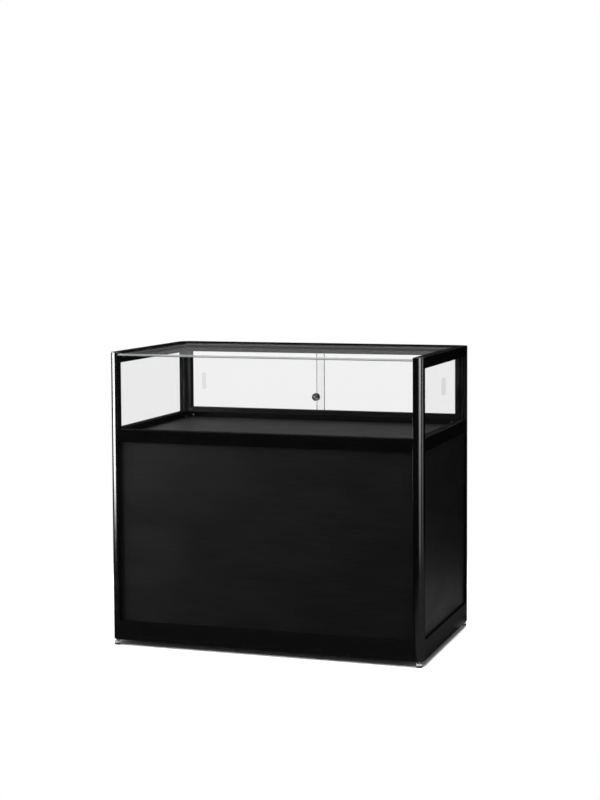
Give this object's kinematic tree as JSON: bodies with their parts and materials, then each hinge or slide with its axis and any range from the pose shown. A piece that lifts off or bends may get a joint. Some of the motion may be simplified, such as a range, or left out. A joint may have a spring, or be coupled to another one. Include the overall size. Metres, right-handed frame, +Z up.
{
  "type": "glass display counter",
  "caption": "Floor-standing display counter: black quarter-round frame, glass case on a closed cabinet, rear sliding doors with plunger locks, levelling feet.",
  "frame": {"origin": "on the floor, in the middle of everything the counter covers at rest", "axes": "+Z up; the front faces -Y and the doors are at +Y; +X to the right as seen from the front"},
  "size_m": [1, 0.6108, 0.914],
  "materials": {
    "frame_black": "black anodised aluminium extrusion, satin",
    "cap_black": "moulded black end caps",
    "connector_zinc": "zinc-plated steel connectors and set screws",
    "clear_glass": "clear float glass with ground edges",
    "door_glass": "clear float glass with ground edges and ground finger pulls",
    "gasket_rubber": "black rubber glazing channel",
    "seal_silicone": "clear silicone strip",
    "deck_black": "board faced in satin black laminate",
    "laminate_black": "board faced in fine-grained black laminate",
    "track_black": "extruded black plastic track",
    "shoe_nylon": "natural nylon sliding strip",
    "lock_chrome": "chrome-plated lock",
    "lock_nut_black": "black ring nut",
    "lock_brass": "brass cylinder core",
    "foot_nylon": "moulded black nylon foot",
    "stud_zinc": "bright zinc-plated steel stud"
  },
  "bodies": {
    "frame": {"post_front_left": "frame_black", "post_front_right": "frame_black", "post_rear_left": "frame_black", "post_rear_right": "frame_black", "top_rail_left": "frame_black", "top_rail_right": "frame_black", "top_rail_rear": "frame_black", "mid_rail_front": "frame_black", "mid_rail_left": "frame_black", "mid_rail_right": "frame_black", "mid_rail_rear": "frame_black", "bottom_rail_front": "frame_black", "bottom_rail_left": "frame_black", "bottom_rail_right": "frame_black", "bottom_rail_rear": "frame_black", "post_caps": "cap_black", "rail_connectors": "connector_zinc", "connector_screws": "connector_zinc", "glass_top": "clear_glass", "glass_front": "clear_glass", "glass_left": "clear_glass", "glass_right": "clear_glass", "pane_gaskets": "gasket_rubber", "top_glass_seals": "seal_silicone", "display_deck": "deck_black", "cabinet_floor": "laminate_black", "front_panel": "laminate_black", "side_panel_left": "laminate_black", "side_panel_right": "laminate_black", "glass_track_bottom": "track_black", "glass_track_top": "track_black", "storage_track_bottom": "track_black", "storage_track_top": "track_black", "glass_end_channels": "track_black", "storage_end_channels": "track_black"},
    "glass_door_left": {"glass_door_left": "door_glass", "glass_door_left_shoe": "shoe_nylon", "glass_lock_housing": "lock_chrome", "glass_lock_nut": "lock_nut_black"},
    "glass_door_right": {"glass_door_right": "door_glass", "glass_door_right_shoe": "shoe_nylon"},
    "glass_lock_plunger": {"glass_lock_plunger": "lock_chrome"},
    "glass_lock_core": {"glass_lock_core": "lock_brass"},
    "storage_door_left": {"storage_door_left": "laminate_black", "storage_door_left_shoe": "shoe_nylon", "storage_lock_housing": "lock_chrome", "storage_lock_nut": "lock_nut_black"},
    "storage_door_right": {"storage_door_right": "laminate_black", "storage_door_right_shoe": "shoe_nylon"},
    "storage_lock_plunger": {"storage_lock_plunger": "lock_chrome"},
    "storage_lock_core": {"storage_lock_core": "lock_brass"},
    "foot_pad_front_left": {"foot_pad_front_left": "foot_nylon"},
    "foot_stud_front_left": {"foot_stud_front_left": "stud_zinc"},
    "foot_pad_front_right": {"foot_pad_front_right": "foot_nylon"},
    "foot_stud_front_right": {"foot_stud_front_right": "stud_zinc"},
    "foot_pad_rear_left": {"foot_pad_rear_left": "foot_nylon"},
    "foot_stud_rear_left": {"foot_stud_rear_left": "stud_zinc"},
    "foot_pad_rear_right": {"foot_pad_rear_right": "foot_nylon"},
    "foot_stud_rear_right": {"foot_stud_rear_right": "stud_zinc"}
  },
  "joints": [
    {"name": "glass_door_left_slide", "type": "slide", "parent": "frame", "child": "glass_door_left", "axis": [-1, 0, 0], "range_m": [-0.4505, 0]},
    {"name": "glass_door_right_slide", "type": "slide", "parent": "frame", "child": "glass_door_right", "axis": [1, 0, 0], "range_m": [-0.4505, 0]},
    {"name": "glass_lock_push", "type": "slide", "parent": "glass_door_left", "child": "glass_lock_plunger", "axis": [0, -1, 0], "range_m": [0, 0.0085], "stiffness_N_per_m": 200},
    {"name": "glass_lock_key_turn", "type": "hinge", "parent": "glass_lock_plunger", "child": "glass_lock_core", "pos_m": [-0.0185, 0.30535, 0.734], "axis": [0, 1, 0], "range_deg": [0, 90]},
    {"name": "storage_door_left_slide", "type": "slide", "parent": "frame", "child": "storage_door_left", "axis": [-1, 0, 0], "range_m": [-0.4505, 0]},
    {"name": "storage_door_right_slide", "type": "slide", "parent": "frame", "child": "storage_door_right", "axis": [1, 0, 0], "range_m": [-0.4505, 0]},
    {"name": "storage_lock_push", "type": "slide", "parent": "storage_door_left", "child": "storage_lock_plunger", "axis": [0, -1, 0], "range_m": [0, 0.0085], "stiffness_N_per_m": 200},
    {"name": "storage_lock_key_turn", "type": "hinge", "parent": "storage_lock_plunger", "child": "storage_lock_core", "pos_m": [-0.0185, 0.30535, 0.577], "axis": [0, 1, 0], "range_deg": [0, 90]},
    {"name": "foot_front_left_height", "type": "slide", "parent": "frame", "child": "foot_pad_front_left", "axis": [0, 0, 1], "range_m": [-0.01, 0.005]},
    {"name": "foot_front_left_turn", "type": "hinge", "parent": "foot_pad_front_left", "child": "foot_stud_front_left", "pos_m": [-0.4855, -0.29085, 0], "axis": [0, 0, 1], "range_deg": [-2881, 1441]},
    {"name": "foot_front_right_height", "type": "slide", "parent": "frame", "child": "foot_pad_front_right", "axis": [0, 0, 1], "range_m": [-0.01, 0.005]},
    {"name": "foot_front_right_turn", "type": "hinge", "parent": "foot_pad_front_right", "child": "foot_stud_front_right", "pos_m": [0.4855, -0.29085, 0], "axis": [0, 0, 1], "range_deg": [-2881, 1441]},
    {"name": "foot_rear_left_height", "type": "slide", "parent": "frame", "child": "foot_pad_rear_left", "axis": [0, 0, 1], "range_m": [-0.01, 0.005]},
    {"name": "foot_rear_left_turn", "type": "hinge", "parent": "foot_pad_rear_left", "child": "foot_stud_rear_left", "pos_m": [-0.4855, 0.28015, 0], "axis": [0, 0, 1], "range_deg": [-2881, 1441]},
    {"name": "foot_rear_right_height", "type": "slide", "parent": "frame", "child": "foot_pad_rear_right", "axis": [0, 0, 1], "range_m": [-0.01, 0.005]},
    {"name": "foot_rear_right_turn", "type": "hinge", "parent": "foot_pad_rear_right", "child": "foot_stud_rear_right", "pos_m": [0.4855, 0.28015, 0], "axis": [0, 0, 1], "range_deg": [-2881, 1441]}
  ],
  "couplings": [
    {"joint": "foot_front_left_turn", "follows": "foot_front_left_height", "rad_per_m": 5026.5},
    {"joint": "foot_front_right_turn", "follows": "foot_front_right_height", "rad_per_m": 5026.5},
    {"joint": "foot_rear_left_turn", "follows": "foot_rear_left_height", "rad_per_m": 5026.5},
    {"joint": "foot_rear_right_turn", "follows": "foot_rear_right_height", "rad_per_m": 5026.5}
  ]
}
